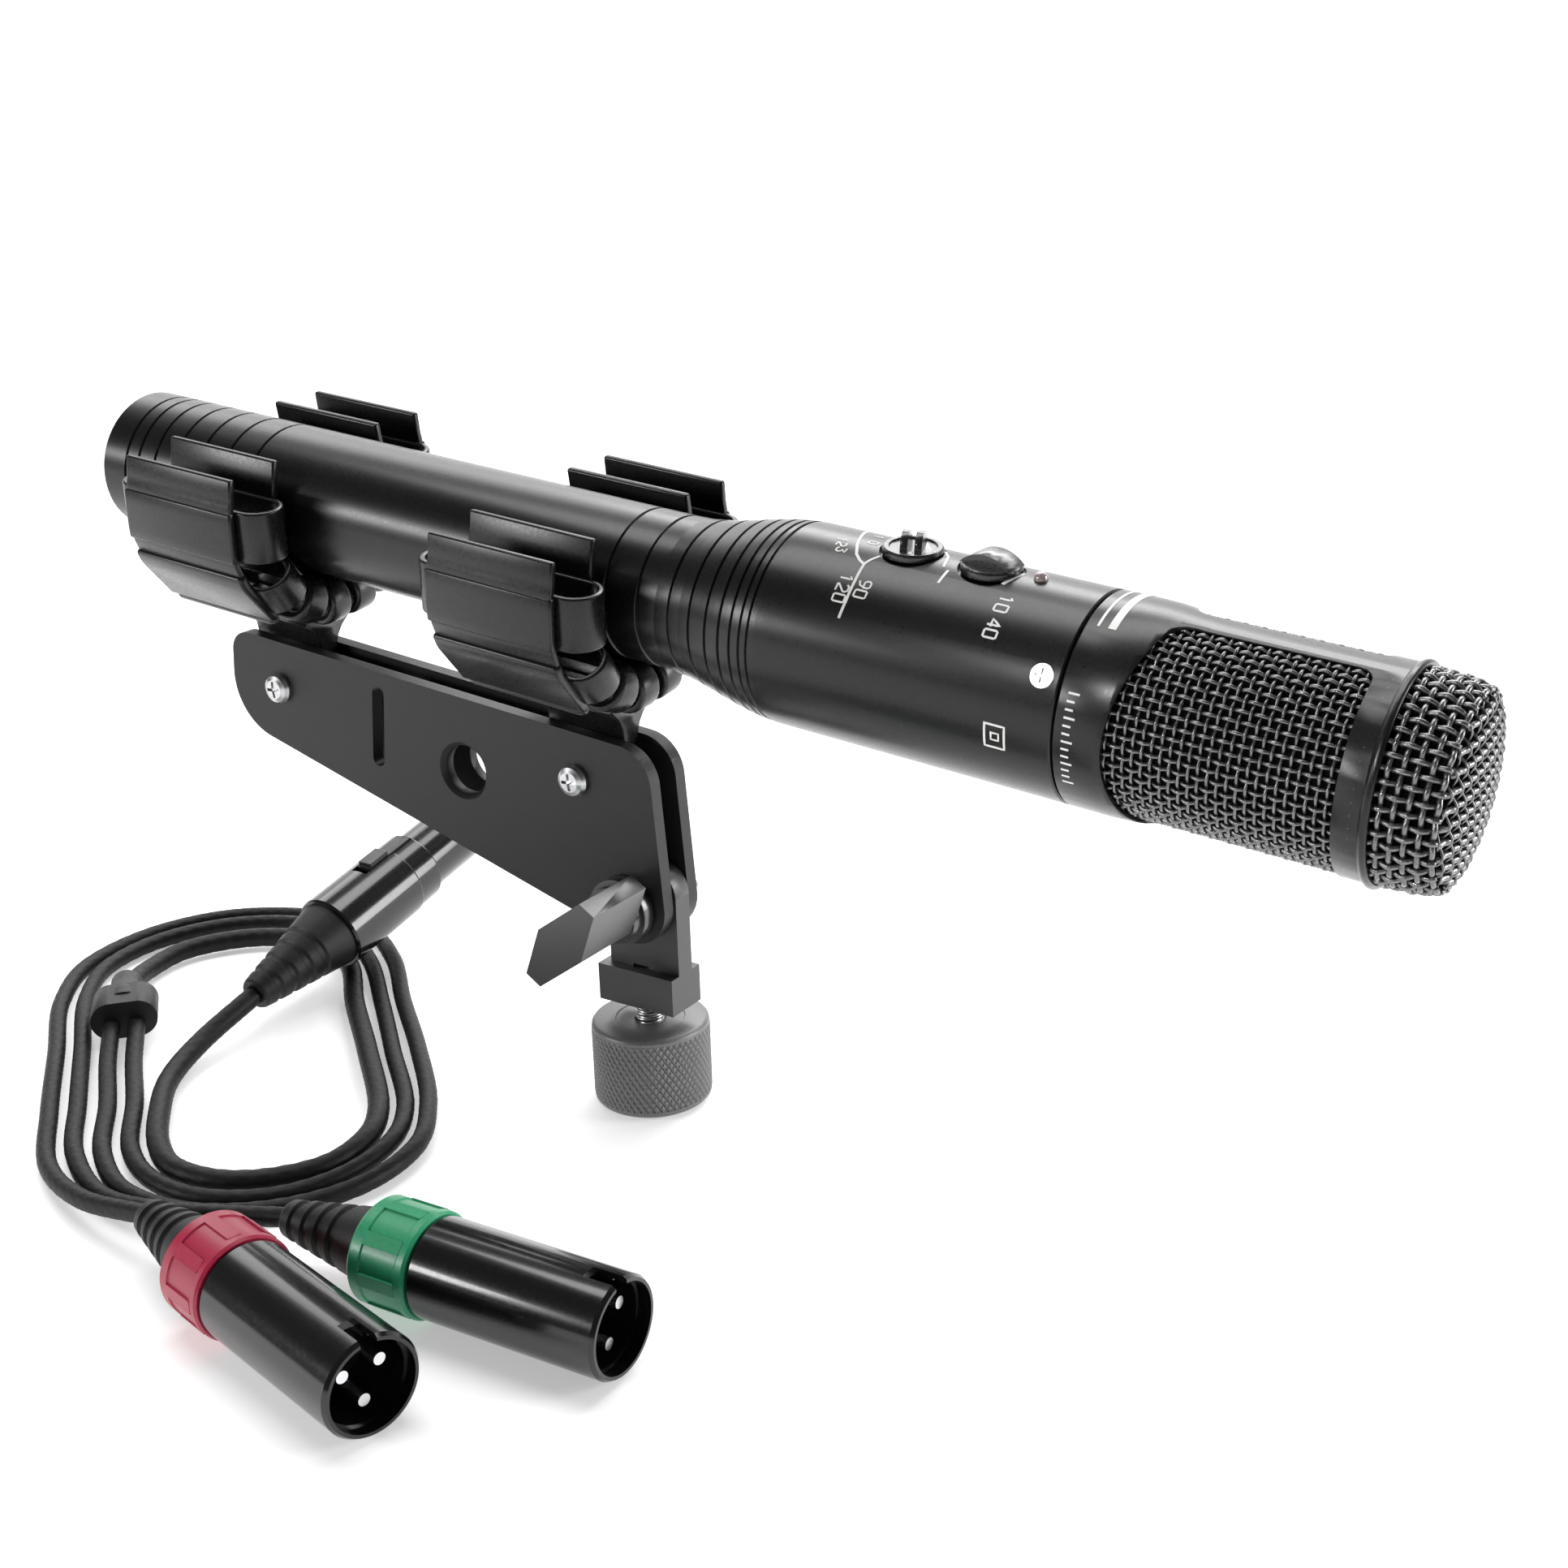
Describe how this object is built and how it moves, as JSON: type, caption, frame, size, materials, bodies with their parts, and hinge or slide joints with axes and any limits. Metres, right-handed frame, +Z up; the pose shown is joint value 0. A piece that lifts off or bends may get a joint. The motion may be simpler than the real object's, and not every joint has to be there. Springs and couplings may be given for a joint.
{
  "type": "stereo microphone in a shock mount",
  "caption": "Slim stereo condenser microphone with mesh windows, held in an elastomer shock mount on a tilting thumb-screw stand adapter, with its loose Y breakout cable.",
  "frame": {"origin": "centre of the mouth of the stand thread, in the bottom face of the knurled adapter", "axes": "+Z up out of the stand along the adapter; +X towards the sound source, along the microphone at zero tilt; -Y the side with the wing knob"},
  "size_m": [0.3379, 0.1836, 0.1451],
  "materials": {
    "mic_black": "satin black paint",
    "mesh_wire": "blackened woven wire",
    "foam": "open-cell foam",
    "bridge_plastic": "moulded",
    "capsule_brass": "turned",
    "board_green": "solder mask",
    "switch_plastic": "moulded",
    "lamp_red": "smoky lens",
    "battery_steel": "plated can",
    "contact_gold": "gold plated",
    "socket_steel": "nickel plated",
    "insert_plastic": "moulded",
    "screw_steel": "bright zinc",
    "knob_black": "moulded",
    "cradle_elastomer": "satin moulded elastomer",
    "plate_black": "matte powder coat",
    "wing_gloss": "glossy moulded",
    "block_black": "matte black",
    "adapter_grey": "matte grey-black, knurled",
    "shell_black": "glossy black",
    "latch_steel": "blackened",
    "boot_rubber": "moulded",
    "cord_black": "black cable jacket",
    "ring_red": "crimson coding ring",
    "ring_green": "green coding ring",
    "pin_silver": "silver plated"
  },
  "bodies": {
    "adapter": {"stand_adapter": "adapter_grey", "plug5_shell": "shell_black", "plug5_insert": "insert_plastic", "plug5_contacts": "contact_gold", "plug5_boot": "boot_rubber", "trunk_cable": "cord_black", "y_splitter": "boot_rubber", "leg_red": "cord_black", "leg_green": "cord_black", "red_shell": "shell_black", "red_ring": "ring_red", "red_boot": "boot_rubber", "red_insert": "insert_plastic", "red_pins": "pin_silver", "green_shell": "shell_black", "green_ring": "ring_green", "green_boot": "boot_rubber", "green_insert": "insert_plastic", "green_pins": "pin_silver"},
    "swivel": {"swivel_block": "block_black", "adapter_stud": "screw_steel"},
    "frame": {"cradle_front": "cradle_elastomer", "cradle_rear": "cradle_elastomer", "near_plate": "plate_black", "far_plate": "plate_black", "stem_sleeves": "screw_steel", "plate_screws": "screw_steel", "plate_nuts": "screw_steel", "pivot_nut": "screw_steel", "pivot_washers": "screw_steel"},
    "wing": {"wing_knob": "wing_gloss", "wing_screw": "screw_steel"},
    "microphone": {"body_tube": "mic_black", "head_housing": "mic_black", "window_mesh": "mesh_wire", "front_mesh": "mesh_wire", "foam_liner": "foam", "capsule_bridge": "bridge_plastic", "side_capsule": "capsule_brass", "mid_capsule": "capsule_brass", "main_board": "board_green", "switch_board": "board_green", "switch_modules": "switch_plastic", "status_lamp": "lamp_red", "battery": "battery_steel", "battery_holder": "switch_plastic", "battery_contacts": "contact_gold", "socket_shell": "socket_steel", "socket_insert": "insert_plastic", "socket_pins": "contact_gold", "head_screws": "screw_steel"},
    "level": {"level_knob": "knob_black"},
    "power": {"power_knob": "knob_black"},
    "latch": {"plug5_latch": "latch_steel"}
  },
  "joints": [
    {"name": "pan", "type": "hinge", "parent": "adapter", "child": "swivel", "pos_m": [0, 0, 0.016], "axis": [0, 0, 1], "range_deg": [-135, 135]},
    {"name": "tilt", "type": "hinge", "parent": "swivel", "child": "frame", "pos_m": [0, 0, 0.0465], "axis": [0, 1, 0], "range_deg": [-22, 75]},
    {"name": "wing_turn", "type": "hinge", "parent": "frame", "child": "wing", "pos_m": [0, -0.015, 0.0465], "axis": [0, 1, 0], "continuous": true},
    {"name": "mic_turn", "type": "hinge", "parent": "frame", "child": "microphone", "pos_m": [-0.05044, 0, 0.12118], "axis": [0.9959, 0, -0.0906], "continuous": true},
    {"name": "level_turn", "type": "hinge", "parent": "microphone", "child": "level", "pos_m": [0.06749, -0.00174, 0.13045], "axis": [0.0903, -0.0872, 0.9921], "range_deg": [-60, 60]},
    {"name": "power_turn", "type": "hinge", "parent": "microphone", "child": "power", "pos_m": [0.08382, -0.00174, 0.12897], "axis": [0.0903, -0.0872, 0.9921], "range_deg": [0, 60]},
    {"name": "latch_press", "type": "slide", "parent": "adapter", "child": "latch", "axis": [0, 0.2161, -0.9764], "range_m": [0, 0.0005], "stiffness_N_per_m": 1500}
  ]
}
